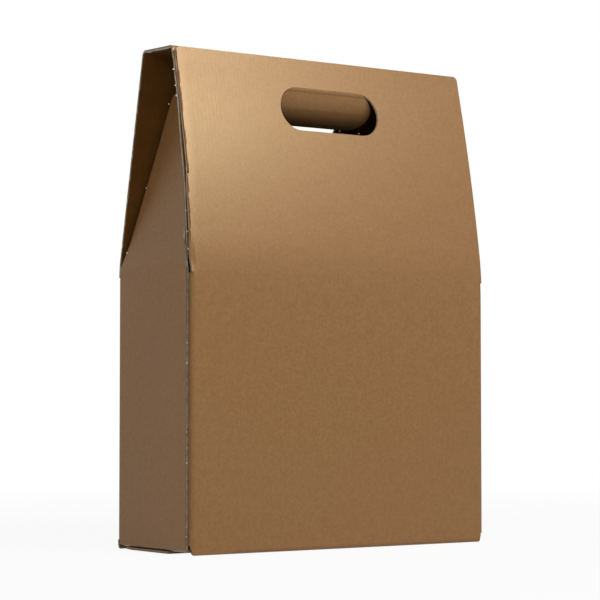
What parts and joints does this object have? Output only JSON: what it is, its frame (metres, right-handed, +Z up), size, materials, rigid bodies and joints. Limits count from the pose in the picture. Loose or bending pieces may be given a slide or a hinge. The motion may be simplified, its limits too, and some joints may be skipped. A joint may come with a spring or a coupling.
{
  "type": "bottle carrier gift box",
  "caption": "Tall folded-board carrier box for wine bottles with sloping shoulders, a fold-over ridge, a hand hole with its push-in flap, and inward-leaning side flaps.",
  "frame": {"origin": "middle of the footprint, on the surface that the box stands on", "axes": "+Z up, +X along the width to the right as seen from the front, +Y from the front to the back; the front with the open hand hole faces -Y"},
  "size_m": [0.265, 0.098, 0.361],
  "materials": {
    "bronze_board": "fine-flute board with a satin metallic bronze liner outside and a brown liner inside, raw die-cut edges"
  },
  "bodies": {
    "carton": {"carton": "bronze_board"},
    "handle_flap": {"handle_flap": "bronze_board"},
    "left_side_flap": {"left_side_flap": "bronze_board"},
    "right_side_flap": {"right_side_flap": "bronze_board"}
  },
  "joints": [
    {"name": "handle_flap_fold", "type": "hinge", "parent": "carton", "child": "handle_flap", "pos_m": [0.0033, -0.0227, 0.33683], "axis": [1, 0, 0], "range_deg": [-50, 40]},
    {"name": "left_side_flap_fold", "type": "hinge", "parent": "carton", "child": "left_side_flap", "pos_m": [-0.1316, 0, 0.204], "axis": [0, 1, 0], "range_deg": [-102, 78]},
    {"name": "right_side_flap_fold", "type": "hinge", "parent": "carton", "child": "right_side_flap", "pos_m": [0.1316, 0, 0.204], "axis": [0, -1, 0], "range_deg": [-102, 78]}
  ]
}
